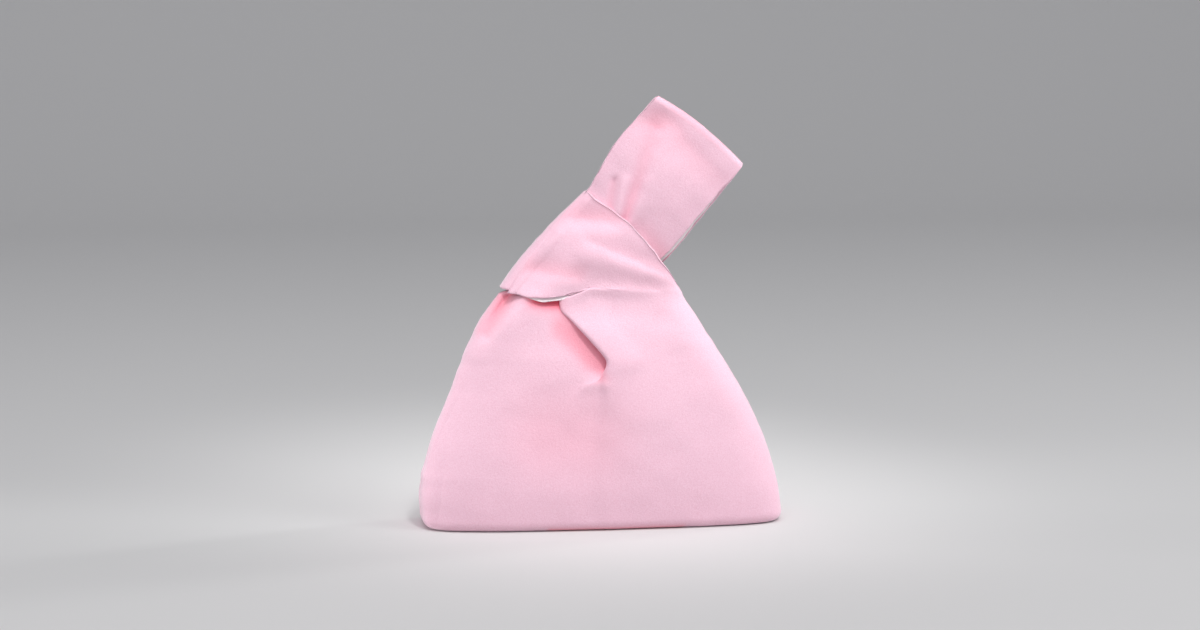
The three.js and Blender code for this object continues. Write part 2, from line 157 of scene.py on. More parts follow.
pleat = dict(
    height=[0, 55, 88, 100, 107, 113, 118, 123, 131, 139.5, 147, 152.5, 160],
    edge=[-8, -6, -3.2, -3, -2.4, 0.2, 0.4, -2.8, -9.6, -17.3, -24.2, -29.6, -30.8],  # x of its fold
    spread=[19, 17, 14, 9.5, 6.5, 5.5, 5.5, 5.5, 5.5, 5.5, 5.5, 5.5, 5.5],
    tuck=[0, 0, 0, 1, 6, 9, 9.5, 10, 10, 10, 10, 9.5, 9.5],
    proud=[0, 1.6, 2.4, 3, 3.6, 4, 4.2, 4.2, 4.1, 3.2, 1.6, 1.4, 2.6],
    sunk=[0, 0.4, 0.5, 0.6, 0.6, 0.6, 0.6, 0.6, 0.6, 0.5, 0.3, 0, 0],
    turnPlace=0.78,  # of its turns, in spreads from the middle
    turnSharp=6.5,
    fade=2.2,  # how far it reaches past its turns
)

rim = dict(
    column=[0, 8, 11, 18, 19, 20, 21, 22, 23.8, 26.5, 31],
    height=[162, 161, 157.5, 159.3, 160.2, 161.8, 164.2, 168, 164.8, 163.3, 161],
    flareAtNotch=1.1, flareAtRight=0.6, flareBelow=9,  # the rim stands out under the short strap
)

frontFolds = [
    # narrow left face: its edge, the hollow beside it with painted shade, and the edge by the seam
    dict(a=(-52, 164), b=(-91, 128), left=18, right=3.5, rise=3, start=1.9),
    dict(a=(-61.5, 168), b=(-82, 137), left=5, right=6, tail=0.8, rise=-10.5, end=0.4, paintedShade=0.7),
    dict(a=(-67.5, 169), b=(-85, 140), left=3.5, right=5, rise=5.5, end=0.4),
    # the left half leans back, and the right side is full
    dict(a=(-118, 0), b=(-108, 66), left=30, right=106, rise=-7, facet=True),
    dict(a=(44, 152), b=(92, 88), left=15, right=15, rise=2),
    # pleat: drawn in under it with painted shade, its strip of painted shadow, its crown, where it runs out
    # below, and the lip at its foot
    dict(a=(-15, 138), b=(1, 116), left=5, right=17, rise=-1.7, paintedShade=0.16, facet=True),
    dict(a=(-25.5, 140.5), b=(-1.5, 112), left=10.5, right=12, tail=0.75, rise=-0.5, paintedShade=0.37, flat=4),
    dict(a=(2, 135), b=(16, 117), left=20, right=7, rise=0.7),
    dict(a=(-5, 102), b=(-3, 58), left=9, right=20, rise=-0.9, end=0.3),
    dict(a=(-14, 102), b=(-3, 103.5), left=4.5, right=6, rise=1.9),
    # hollows under the crease and of the belly, the belly's with painted shade, a line of painted shadow
    # where the base turns under, and the mouth under the short strap, sunk and with deep painted shade
    dict(a=(8, 149), b=(44, 146), left=9, right=9, rise=-1.5),
    dict(a=(-40, 66), b=(-14, 64), left=32, right=28, rise=-3, paintedShade=0.12),
    dict(a=(-40, 0), b=(52, 0), left=2.4, right=2.4, rise=0, paintedShade=0.9),
    dict(a=(-47, 161), b=(-29, 157), left=6, right=6.5, rise=-2.6, paintedShade=1.15),
]
backFolds = [
    # ridge on the left, hollow of the belly and fullness on the right
    dict(a=(-50, 152), b=(-84, 120), left=9, right=9, rise=1.5),
    dict(a=(-34, 24), b=(-20, 50), left=42, right=42, rise=-5),
    dict(a=(40, 150), b=(80, 96), left=18, right=18, rise=1.5),
    # drawn in under the pleat with painted shade, where the pleat runs out below, and the mouth with painted
    # shade
    dict(a=(-17, 141), b=(1, 116), left=5, right=16, rise=-4, paintedShade=0.3, facet=True),
    dict(a=(-4, 100), b=(4, 50), left=5, right=16, rise=-1.5, end=0.2),
    dict(a=(-54, 163), b=(-28, 161), left=8, right=8, rise=-5, paintedShade=0.6),
]


def sectionAt(height, inset):
    # Middle, half width, depth and power of the section at a height. The side seams wander a little, and the
    # power is 2 over how square the section is.
    left, right, depth, square = (smoothThrough(bagBody["height"], bagBody[name], height)
                                  for name in ("left", "right", "depth", "square"))
    left = left + wobble["edge"] * softNoise(0 * height, height, wobble["edgeCell"])
    right = right + wobble["edge"] * softNoise(0 * height + wobble["otherSeam"], height, wobble["edgeCell"])
    return (left + right) / 2, (right - left) / 2 - inset, depth - inset, 2 / square


def travel(q):
    # How far the pleat slides the cloth at q spreads from its middle, in tucks: q * exp((1 - q^2) / 2)
    return q * np.exp((1 - q * q) / 2)


def pleatAt(height):
    # The pleat's measures at a height, with the middle from which the slide brings its fold to the edge given
    tucked = {name: smoothThrough(pleat["height"], pleat[name], height)
              for name in ("edge", "spread", "tuck", "proud", "sunk")}
    turn = pleat["turnPlace"]
    tucked["middle"] = tucked["edge"] + tucked["tuck"] * travel(turn) - turn * tucked["spread"]
    return tucked


def rimAt(column):
    # Height of the uneven rim, straight between the table's columns
    return np.interp(column, rim["column"], rim["height"])


def bodySurface(side, folds, column, height, inset=0.0):
    # At each height a superellipse: x = middle - halfWidth cos^p, wall = depth sin^p. The pleat slides x back
    # and forth once, and lifts one side of it and sinks the other by two logistic steps at its turns. The
    # fourth number of a point is its painted shade.
    middle, halfWidth, depth, power = sectionAt(height, inset)
    tucked = pleatAt(height)

    def angleTo(x):
        return np.arccos(np.abs((x - middle) / halfWidth) ** (1 / power) * np.sign(middle - x))

    places = np.interp(column, pattern["left"] + np.arange(len(pattern["pleat"])), pattern["pleat"])
    leftLimit = angleTo(tucked["middle"] + pattern["pleat"][0] * tucked["spread"])
    rightLimit = angleTo(tucked["middle"] + pattern["pleat"][-1] * tucked["spread"])
    onRight = np.clip((column - pattern["shortStrap"]) / pattern["right"], 0, 1)
    angle = np.where(column < pattern["left"], leftLimit * np.clip(column / pattern["left"], 0, 1),
                     np.where(column > pattern["shortStrap"], rightLimit + (np.pi - rightLimit) * onRight,
                              angleTo(tucked["middle"] + tucked["spread"] * places)))
    flatX = middle - halfWidth * np.abs(np.cos(angle)) ** power * np.sign(np.cos(angle))
    wall = depth * np.clip(np.sin(angle), 0, 1) ** power
    wall = np.where((column == 0) | (column == pattern["last"]), 0, wall)

    q = (flatX - tucked["middle"]) / tucked["spread"]
    turn = pleat["turnPlace"]
    logistic = lambda d: 1 / (1 + np.exp(-pleat["turnSharp"] * d))
    fade = np.exp(-((np.maximum(np.abs(q) - 1, 0) / pleat["fade"]) ** 2))
    offset = fade * (tucked["proud"] * logistic(q - turn) - tucked["sunk"] * logistic(-turn - q))
    rimHeight = rimAt(column)
    flare = rim["flareAtNotch"] + (rim["flareAtRight"] - rim["flareAtNotch"]) * onRight
    flare = flare * smoothStep(column, pattern["crease"], pattern["shortStrap"])
    flare = flare * smoothStep(height, rimHeight - rim["flareBelow"], rimHeight)
    share = np.clip(wall / bagBody["foldFade"], 0, 1)
    rise, paintedShade = foldField(folds, flatX, height)
    rise = rise + wobble["rise"] * softNoise(flatX, height, wobble["cell"])
    out = wall + share * (offset + rise + flare)
    x = flatX - tucked["tuck"] * travel(q)
    return np.stack([x, side * np.maximum(out, bagBody["seamGap"] / 2), height + 0 * x, paintedShade], axis=-1)


def bodyRows(side, folds, column):
    # The base is the section at the foot, drawn in towards its seam; a quarter circle turns it up into
    # the wall, and the wall's rows end on the uneven rim. The second result is the row that leads the straps.
    floor = bagBody["cloth"] / 2
    turn = bagBody["baseTurn"]
    foot = bodySurface(side, folds, column, np.zeros_like(column), turn)
    share = np.linspace(0, 1, bagBody["baseRows"])[:, None]
    baseX = foot[:, 0] * (bagBody["baseSeam"] + (1 - bagBody["baseSeam"]) * share)
    baseY = side * np.maximum(np.abs(foot[:, 1]) * share, bagBody["seamGap"] / 2)
    base = np.stack([baseX, baseY, np.full_like(baseX, floor), 0 * baseX], axis=-1)

    angle = np.linspace(0, np.pi / 2, bagBody["turnRows"] + 1)[1:, None] + 0 * column
    turned = bodySurface(side, folds, 0 * angle + column, floor + turn * (1 - np.cos(angle)),
                         turn * (1 - np.sin(angle)))
    wall = np.linspace(floor + turn, bagBody["upperFoot"], bagBody["wallRows"] + 1)[1:, None] + 0 * column
    walls = bodySurface(side, folds, 0 * wall + column, wall)
    upperFoot, span = bagBody["upperFoot"], rimAt(column) - bagBody["upperFoot"]
    upper = upperFoot + span * np.linspace(0, 1, bagBody["upperRows"] + 1)[1:, None]
    uppers = bodySurface(side, folds, 0 * upper + column, upper)
    lead = bodySurface(side, folds, column, upperFoot + span * (1 - bagBody["strapLead"]))
    return np.concatenate([base, turned, walls, uppers]), lead


def sharesOf(row):
    # Arc length along a row, from 0 at its first point to 1 at its last
    steps = np.linalg.norm(np.diff(row[:, :3], axis=0), axis=1)
    lengths = np.concatenate([[0], np.cumsum(steps)])
    return lengths / lengths[-1]


def rowsThrough(sections, step):
    # Smooth curves through the sections, column by column. The first section only sets the direction
    # in which the strap leaves the second.
    gaps = np.linalg.norm(np.diff(sections[..., :3], axis=0), axis=2).mean(axis=1)
    knots = np.concatenate([[0], np.cumsum(gaps)])
    count = int(round((knots[-1] - knots[1]) / step))
    return smoothThrough(knots, sections, np.linspace(knots[1], knots[-1], count + 1))


def edgePoints(strap, edge):
    # The three columns of one edge in a strap's table, as points
    return np.stack([strap[edge + axis] for axis in "XYZ"], axis=-1)


def acrossStrap(side, start, end, crown, share):
    # Straight from edge to edge, with the crown as a parabola between them and no painted shade
    points = start[:, None] + (end - start)[:, None] * share[None, :, None]
    points = np.concatenate([points, 0 * points[..., :1]], axis=-1)
    points[..., 1] = side * (points[..., 1] + np.asarray(crown)[:, None] * arch(share))
    return points


def unsettled(rows, side, folds):
    # Strap rows after the rim, lifted by their folds and a little noise, and nudged in their own plane by
    # noise that grows over the first rows
    x, z = rows[1:, :, 0], rows[1:, :, 2]
    rise, paintedShade = foldField(folds, x, z)
    moved = rows.copy()
    nudge = wobble["edge"] * smoothStep(np.arange(1, len(rows)), 0, wobble["leadRows"])[:, None]
    moved[1:, :, 0] += nudge * softNoise(x, z, wobble["edgeCell"])
    moved[1:, :, 1] += side * (rise + wobble["rise"] * softNoise(x, z, wobble["cell"]))
    moved[1:, :, 2] += nudge * softNoise(z, x, wobble["edgeCell"])
    # the folds' painted shade goes into the fourth number
    moved[1:, :, 3] += paintedShade
    return moved


longStrap = dict(
    outerX=[-58, -37, -8.6, -2.8, 9.8], outerY=[6, 4.5, 4.5, 5.5, 6], outerZ=[168.5, 196, 236, 246.5, 267],
    innerX=[2, 25, 41.8, 52.6, 70.6], innerY=[7.5, 5.5, 4.5, 5, 5.5], innerZ=[160, 169.5, 184.6, 195.9, 217],
    crown=[5.5, 3, 4.8, 4.8, 4.6],
    slip=[2, 4, 4.4, 4.6, 4.6],  # how far the back layer shows past the front one
    endOuter=(38.6, 0, 299.8), endInner=(100.8, 0, 250.5),
    endBow=3, endSlip=2.5,
    endDepth=6, endReach=4.5,  # half axes of the fold at the end
    endRows=8,
    endRadius=4,  # of its rounded outer corner
    endFade=7,
    rowStep=1.7,
)
frontStrapFolds = [
    # dent by the end and the trough from it into the gathers, both with painted shade, and the lip beside
    # the trough
    dict(a=(29, 281), b=(47, 282), left=9, right=11, rise=-1.1, paintedShade=0.06),
    dict(a=(37.5, 276), b=(15.5, 214), left=6, right=6.5, tail=0.55, rise=-3.3, start=0.6, paintedShade=0.16),
    dict(a=(30, 238), b=(20, 212), left=5, right=3.5, rise=2, start=0.3, end=0.7),
    # ridge and trough of the gathers, with painted shade in the trough
    dict(a=(16, 240), b=(10, 219), left=4, right=4, rise=2.6, start=0.4),
    dict(a=(8.5, 240), b=(5, 221), left=3.5, right=3, rise=-1.8, paintedShade=0.1),
    # hollow by the end seam, the turn of the end, the fullness between, and the dive under the short strap;
    # the hollow and the dive have painted shade, and painted shade dims the lit turn of the end
    dict(a=(41, 284), b=(84, 240), left=8, right=14, tail=0.8, rise=-2.2, end=0.4, paintedShade=0.13),
    dict(a=(40, 301.5), b=(102, 252.5), left=3, right=3, rise=0, paintedShade=0.25),
    dict(a=(46, 270), b=(36, 226), left=12, right=10, rise=1.5),
    dict(a=(25, 210), b=(43, 188), left=7, right=5, rise=-0.5, start=0.4, paintedShade=0.17),
]
backStrapFolds = [
    # trough, lip beside it, hollow by the end seam, and the dive under the short strap with painted shade
    dict(a=(40, 282), b=(20, 232), left=6, right=9, rise=-1.6),
    dict(a=(28, 236), b=(16, 212), left=5, right=5, rise=1.8, start=0.3),
    dict(a=(50, 262), b=(84, 244), left=8, right=12, rise=-1.4),
    dict(a=(22, 210), b=(44, 188), left=9, right=9, rise=-2, paintedShade=0.3),
]


def longStrapRows(side, folds, lead, rimRow):
    # Sections carried along smooth curves up to a quarter-ellipse fold that ends at the other half
    share = sharesOf(rimRow)
    endOuter, endInner = np.array(longStrap["endOuter"]), np.array(longStrap["endInner"])
    across = (endInner - endOuter) / np.linalg.norm(endInner - endOuter)
    along = np.array([-across[2], 0, across[0]])
    showing = 1 if side > 0 else 0
    slip = showing * np.outer(longStrap["slip"], across)
    outer, inner = edgePoints(longStrap, "outer") + slip, edgePoints(longStrap, "inner") + slip
    sections = acrossStrap(side, outer, inner, longStrap["crown"], share)
    angle = np.linspace(0, np.pi / 2, longStrap["endRows"] + 1)
    shift = np.outer(showing * longStrap["endSlip"] * np.cos(angle), across)
    shift += np.outer(longStrap["endReach"] * (np.sin(angle) - 1), along)
    shift[:, 1] = np.maximum(longStrap["endDepth"] * np.cos(angle), bagBody["seamGap"] / 2)
    ends = acrossStrap(side, endOuter + shift, endInner + shift, 0 * angle, share)
    # The outer corner is a quarter circle: rows nearer the end start further in
    radius = longStrap["endRadius"]
    short = np.maximum(radius - longStrap["endReach"] * (1 - np.sin(angle)), 0)
    inset = radius - np.sqrt(radius**2 - short**2)
    fade = np.exp(-share * np.linalg.norm(endInner - endOuter) / longStrap["endFade"])
    ends[..., :3] += longStrap["endBow"] * arch(share)[None, :, None] * along
    ends[..., :3] += (inset[:, None] * fade)[..., None] * across
    rows = rowsThrough(np.concatenate([[lead, rimRow], sections, ends[:1]]), longStrap["rowStep"])
    rows = np.concatenate([rows, ends[1:]])
    return np.concatenate([unsettled(rows[:-1], side, folds), ends[-1:]])


shortStrap = dict(
    innerX=[-31, -49], innerY=[19.2, 19.5], innerZ=[162.4, 161.2],
    outerX=[42.5, 18], outerY=[13, 14], outerZ=[183.5, 212],
    crown=[1.5, 2.5],
    # where it turns round the long strap, at its lower and upper edges
    curlLow=(-61.5, 163.5), curlTop=(-5.6, 229.2), curlDepth=(13, 10.5), curlCrown=2,
    tipLow=(-71.3, 164.6), tipTop=(-9.6, 233.2), bow=(3.1, 1.7), bowRise=0.8,
    frontTurnRows=15, backTurnRows=24,
    seamLow=59, seamTop=10, seamGap=0.6,  # degrees round from the tip to the front
    seamStep=0.065, seamWidth=0.12,  # how far the front half stands over the back one, in shares of the turn
    seamSettle=0.35,  # share of the turn from which the folds die out towards the seam
    notchShare=0.15,  # share of the width that leaves the notch straight
    backStart=0.025,  # share of the width that the back half stops short at its lower edge
    roll=0.6, rollWidth=0.016,  # turned upper edge
    rowStep=1.7,
)
frontBandFolds = [
    # hollow at the top of the turn with painted shade, and the fullness below it
    dict(a=(-24, 216.5), b=(5, 213.5), left=12, right=6, rise=-3.2, paintedShade=0.16),
    dict(a=(-34, 202), b=(-6, 204), left=7, right=14, rise=1.5),
    # crease to the shoulder with painted shade, and the ridge below it
    dict(a=(-9, 200), b=(41, 178), left=11, right=3.6, rise=-1.9, start=0.7, paintedShade=0.06),
    dict(a=(-12, 189.5), b=(42, 173.5), left=7, right=8, rise=2.6, start=0.45),
    # hollow over the mouth and its run to the right, both with painted shade, and the flare of the lower edge
    dict(a=(-50, 180.5), b=(-20, 176.5), left=9, right=5, rise=-2, start=0.8, end=0.6, paintedShade=0.22),
    dict(a=(-20, 176.5), b=(36, 166.5), left=9, right=5, rise=-1.3, start=0.3, end=0.6, paintedShade=0.06),
    dict(a=(-58, 161), b=(-30, 159), left=6, right=6, rise=1.8),
]
backBandFolds = [
    # ridge to the shoulder, hollow over the mouth with painted shade, and a hollow at the top
    dict(a=(-2, 200), b=(42, 181), left=7, right=10, rise=2),
    dict(a=(-44, 176), b=(34, 167), left=8, right=8, rise=-1.8, paintedShade=0.15),
    dict(a=(-10, 222), b=(12, 208), left=9, right=9, rise=-1.2),
]


def edgeRoll(share):
    # The turned upper edge stands out by roll * exp(-((1 - share) / rollWidth)^2)
    return shortStrap["roll"] * np.exp(-(((1 - share) / shortStrap["rollWidth"]) ** 2))


def arcRows(side, share, low, top, lift=0):
    # Ellipse arcs round the long strap: cos runs from the curl line to the tip line, sin gives the depth,
    # and both are stretched by 1 + lift. Low and top are each row's angles at the two edges.
    angle = np.radians(low[:, None] + (top - low)[:, None] * share)
    place = share if side < 0 else shortStrap["backStart"] + (1 - shortStrap["backStart"]) * share
    mix = lambda pair: pair[0] + (pair[1] - pair[0]) * place
    curlX, curlZ = (mix((shortStrap["curlLow"][i], shortStrap["curlTop"][i])) for i in (0, 1))
    tipX, tipZ = (mix((shortStrap["tipLow"][i], shortStrap["tipTop"][i])) for i in (0, 1))
    swell = arch(place) * mix(shortStrap["bow"])
    depth = mix(shortStrap["curlDepth"]) + shortStrap["curlCrown"] * arch(place) + edgeRoll(share)
    across, deep = (1 + lift) * np.cos(angle), (1 + lift) * np.sin(angle)
    x = curlX + (tipX - swell - curlX) * across
    z = curlZ + (tipZ + shortStrap["bowRise"] * swell - curlZ) * across
    return np.stack([x, side * depth * deep, z, 0 * x], axis=-1)


def shortStrapRows(side, folds, lead, rimRow):
    # From the crease at the rim over the front or back, then round the tip to the end seam, where the folds
    # die out and the front half stands over the back one by a step of seamStep * exp(-(distance / width)^2)
    share = sharesOf(rimRow)
    inner, outer = edgePoints(shortStrap, "inner"), edgePoints(shortStrap, "outer")
    sections = acrossStrap(side, inner, outer, shortStrap["crown"], share)
    sections[..., 1] += side * edgeRoll(share)
    faceOn = 90.0  # degrees where the turn begins
    turnStart = arcRows(side, share, np.array([faceOn]), np.array([faceOn]))
    straight = np.exp(-share / shortStrap["notchShare"])[:, None]  # the lower edge leaves the notch straight
    lead = lead + (2 * rimRow - sections[0] - lead) * straight
    rows = rowsThrough(np.concatenate([[lead, rimRow], sections, turnStart]), shortStrap["rowStep"])
    endLow = -side * shortStrap["seamLow"] + shortStrap["seamGap"]
    endTop = -side * shortStrap["seamTop"] + shortStrap["seamGap"]
    count = shortStrap["frontTurnRows"] if side < 0 else shortStrap["backTurnRows"]
    step = np.linspace(0, 1, count + 1)[1:]
    lift = -side * shortStrap["seamStep"] * np.exp(-(((1 - step) / shortStrap["seamWidth"]) ** 2))
    low, top = faceOn + (endLow - faceOn) * step, faceOn + (endTop - faceOn) * step
    turned = arcRows(side, share, low, top, lift[:, None])
    rows = unsettled(np.concatenate([rows, turned]), side, folds)
    settled = smoothStep(step, shortStrap["seamSettle"], 1)[:, None, None]
    rows[-count:, :, :3] += settled * (turned[..., :3] - rows[-count:, :, :3])
    return rows


def numberGrid(rows, first=0):
    # Numbers of the points in a grid of rows, counted on from first
    return first + np.arange(rows.shape[0] * rows.shape[1]).reshape(rows.shape[:2])


def gridQuads(numbers, side):
    # Quads between neighbouring rows of point numbers, turned to face outwards on that side
    corners = [numbers[:-1, :-1], numbers[:-1, 1:], numbers[1:, 1:], numbers[1:, :-1]]
    quads = np.stack(corners, axis=-1).reshape(-1, 4)
    return quads if side < 0 else quads[:, ::-1]


def surfaceNormals(points, quads):
    # Sum of the quads' cross products of diagonals at each point, made one long
    a, b, c, d = (points[quads[:, i]] for i in range(4))
    faces = np.cross(c - a, d - b)
    normals = np.zeros_like(points)
    for i in range(4):
        np.add.at(normals, quads[:, i], faces)
    normals[np.abs(points[:, 1]) < bagBody["seamGap"], 1] = 0  # square to a seam
    return normals / np.linalg.norm(normals, axis=1, keepdims=True)


def boundaryEdges(quads):
    # Directed edges that only one quad has
    edges = np.concatenate([quads[:, [i, (i + 1) % 4]] for i in range(4)])
    base = quads.max() + 1
    keys, reverse = edges[:, 0] * base + edges[:, 1], edges[:, 1] * base + edges[:, 0]
    return edges[~np.isin(keys, reverse)]


def closedSheet(points, quads, normals, thickness, tight=1.0, roundSteps=4):
    # Two faces half the thickness to either side, joined round the edge by half ellipses whose tips lie
    # on the sheet's own edge; tight is how far the ellipse reaches against half the thickness. The third
    # result is the sheet's point that each point came from.
    half = thickness / 2
    edges = boundaryEdges(quads)
    outward = np.zeros_like(points)
    sideways = np.cross(points[edges[:, 1]] - points[edges[:, 0]], normals[edges[:, 0]])
    np.add.at(outward, edges[:, 0], sideways)
    np.add.at(outward, edges[:, 1], sideways)
    rimIds = np.unique(edges)
    outward[rimIds] /= np.linalg.norm(outward[rimIds], axis=1, keepdims=True)
    outward *= np.broadcast_to(tight, len(points))[:, None]
    core = points - half * outward
    outer, inner = core + half * normals, core - half * normals

    count, rimCount = len(points), len(rimIds)
    place = np.zeros(count, int)
    place[rimIds] = np.arange(rimCount)
    angle = np.linspace(np.pi / 2, -np.pi / 2, roundSteps + 1)[1:-1]
    rings = [core[rimIds] + half * (np.sin(t) * normals[rimIds] + np.cos(t) * outward[rimIds]) for t in angle]
    a, b = edges[:, 0], edges[:, 1]
    ringNumbers = [np.stack([a, b])]
    ringNumbers += [2 * count + k * rimCount + np.stack([place[a], place[b]]) for k in range(len(angle))]
    ringNumbers += [np.stack([a, b]) + count]
    faces = [quads, quads[:, ::-1] + count]
    for (upA, upB), (downA, downB) in zip(ringNumbers[:-1], ringNumbers[1:]):
        faces.append(np.stack([upB, upA, downA, downB], axis=-1))
    source = np.concatenate([np.arange(count)] * 2 + [rimIds] * len(angle))
    return np.concatenate([outer, inner] + rings), np.concatenate(faces), source


def putPiece(name, points, faces, paintedShade, material, slotName):
    # Millimetre points and quads become a smooth mesh at the origin, in metres, with its painted shade by
    # point
    mesh = bpy.data.meshes.new(name)
    mesh.vertices.add(len(points))
    mesh.vertices.foreach_set("co", (points * toMetres).astype(np.float32).ravel())
    mesh.loops.add(faces.size)
    mesh.loops.foreach_set("vertex_index", faces.astype(np.int32).ravel())
    mesh.polygons.add(len(faces))
    mesh.polygons.foreach_set("loop_start", np.arange(0, faces.size, 4, dtype=np.int32))
    mesh.polygons.foreach_set("use_smooth", np.ones(len(faces), bool))
    mesh.update()
    mesh.attributes.new("paintedShade", "FLOAT", "POINT").data.foreach_set("value", paintedShade.astype(np.float32))
    mesh.materials.append(material)
    piece = bpy.data.objects.new(name, mesh)
    bpy.context.scene.collection.objects.link(piece)
    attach(piece, "root")
    print(name, "made with", len(faces), "faces")
    return piece


def nodeMaterial(name, sockets):
    # A new material with the given values on its shader's own sockets
    material = bpy.data.materials.new(name)
    material.use_nodes = True
    tree = material.node_tree
    shader = tree.nodes["Principled BSDF"]
    for socket, value in sockets.items():
        shader.inputs[socket].default_value = value
    return material, tree.nodes, tree.links, shader


def noiseAt(nodes, links, coords, scale):
    # A noise on Object coordinates, with that many cells a metre
    noise = nodes.new("ShaderNodeTexNoise")
    noise.inputs["Scale"].default_value = scale
    links.new(coords.outputs["Object"], noise.inputs["Vector"])
    return noise


def bumpFrom(nodes, links, shader, height, strength, distance):
    # The height bends the shader's normal
    bump = nodes.new("ShaderNodeBump")
    bump.inputs["Strength"].default_value = strength
    bump.inputs["Distance"].default_value = distance
    links.new(height, bump.inputs["Height"])
    links.new(bump.outputs["Normal"], shader.inputs["Normal"])


def brushedCloth():
    # Pale pink with a fine speckle, deepened towards red pink by the folds' painted shade, and a nap of two
    # noises in the bump
    look = dict(
        speckle=1300, speckleDetail=3,
        deep=(0.84, 0.502, 0.612, 1), deepAt=0.3,  # colour and place in the speckle
        pale=(0.9, 0.592, 0.703, 1), paleAt=0.62,
        hollow=(0.93, 0.13, 0.19, 1),  # painted shade: the red pink a fold's shade leads to
        nap=700, fibre=2200, bump=0.45, napHeight=0.0004,
        sockets={"Roughness": 0.95, "Specular IOR Level": 0.15, "Sheen Weight": 1.0, "Sheen Roughness": 0.4,
                 "Sheen Tint": (1, 0.88, 0.94, 1)},
    )
    material, nodes, links, shader = nodeMaterial("brushedCloth", look["sockets"])
    coords = nodes.new("ShaderNodeTexCoord")
    speckle = noiseAt(nodes, links, coords, look["speckle"])
    speckle.inputs["Detail"].default_value = look["speckleDetail"]
    ramp = nodes.new("ShaderNodeValToRGB")
    for stop, tone in zip(ramp.color_ramp.elements, ("deep", "pale")):
        stop.position = look[tone + "At"]
        stop.color = look[tone]
    links.new(speckle.outputs["Fac"], ramp.inputs["Fac"])
    # Painted shade: the attribute mixes the colour towards the red pink of a shaded fold
    paintedShade, mixed = nodes.new("ShaderNodeAttribute"), nodes.new("ShaderNodeMix")
    paintedShade.attribute_name = "paintedShade"
    mixed.data_type = "RGBA"
    links.new(paintedShade.outputs["Fac"], mixed.inputs[0])
    links.new(ramp.outputs["Color"], mixed.inputs[6])  # inputs 6 and 7 and output 2 are the colour sockets
    mixed.inputs[7].default_value = look["hollow"]
    links.new(mixed.outputs[2], shader.inputs["Base Color"])
    nap, fibre = (noiseAt(nodes, links, coords, look[part]) for part in ("nap", "fibre"))
    both = nodes.new("ShaderNodeMath")
    both.operation = "ADD"
    links.new(nap.outputs["Fac"], both.inputs[0])
    links.new(fibre.outputs["Fac"], both.inputs[1])
    bumpFrom(nodes, links, shader, both.outputs["Value"], look["bump"], look["napHeight"])
    return material


def liningCloth():
    # Off-white with a fine plain grain in the bump
    look = dict(grain=1800, bump=0.3, grainHeight=0.0002,
                sockets={"Base Color": (0.92, 0.835, 0.85, 1), "Roughness": 0.9})
    material, nodes, links, shader = nodeMaterial("liningCloth", look["sockets"])
    grain = noiseAt(nodes, links, nodes.new("ShaderNodeTexCoord"), look["grain"])
    bumpFrom(nodes, links, shader, grain.outputs["Fac"], look["bump"], look["grainHeight"])
    return material


cloth, liningMaterial = brushedCloth(), liningCloth()
print("materials made")


def fineColumns():
    # Each plain column is cut into finerPlain, each column of the pleat into finerPleat
    left, short, last = pattern["left"], pattern["shortStrap"], pattern["last"]
    return np.concatenate([
        np.linspace(0, left, left * pattern["finerPlain"] + 1),
        np.linspace(left, short, (short - left) * pattern["finerPleat"] + 1)[1:],
        np.linspace(short, last, (last - short) * pattern["finerPlain"] + 1)[1:],
    ])


def makePanel(panel):
    # Body and both strap halves share the points of the rim, so the panel is one sheet as it is cut
    side, column = panel["side"], fineColumns()
    body, lead = bodyRows(side, panel["folds"], column)
    onLong, onShort = column <= pattern["longStrap"], column >= pattern["shortStrap"]
    longRows = longStrapRows(side, panel["strap"], lead[onLong], body[-1, onLong])
    shortRows = shortStrapRows(side, panel["band"], lead[onShort], body[-1, onShort])
    parts, grids = [body], [numberGrid(body)]
    total = grids[0].size
    for rows, mask in ((longRows, onLong), (shortRows, onShort)):
        numbers = numberGrid(rows[1:], total)
        grids.append(np.concatenate([grids[0][-1:, mask], numbers]))
        parts.append(rows[1:])
        total += numbers.size
    points = np.concatenate([part.reshape(-1, 4) for part in parts])
    points, paintedShade = points[:, :3], np.clip(points[:, 3], 0, 1)
    quads = np.concatenate([gridQuads(numbers, side) for numbers in grids])
    normals = surfaceNormals(points, quads)
    tight = np.where(np.abs(points[:, 1]) < bagBody["seamGap"], bagBody["seamTight"], 1.0)
    tight[grids[2][-1]] = bagBody["seamTight"]
    points, faces, source = closedSheet(points, quads, normals, bagBody["cloth"], tight)
    piece = putPiece(panel["name"] + "Panel", points, faces, paintedShade[source], cloth, "brushed_cloth")
    return piece, longRows, shortRows


lining = dict(
    thickness=1.0,
    gap=0.4,  # behind the cloth
    setback=1.2,  # how far it stops short of a strap's edge
    reach=8,  # over which its edges are let out or drawn back
    longStart=6, shortStart=15,  # rows above the rim where the straps' linings begin
    endRows=2,  # rows that it stops short of an end seam
    stripDepth=[1.5, 1.5, 1.5, 1.5, 1.5, 0.1],  # how far the strips reach in from their edges
    stripRows=7,
    lipRoll=1.2, rollReach=2,  # how far a lip rolls outwards past its edge, and over what length
    mouthEnd=21.2,  # column where the strip on the mouth runs out
    longLipZ=[170, 200, 222, 240],  # heights along the long strap's inner edge for the lips given by panel
    shortLipX=[-60, -55, -47, -40, -33, -12],  # places along the short strap's lower edge, likewise
)


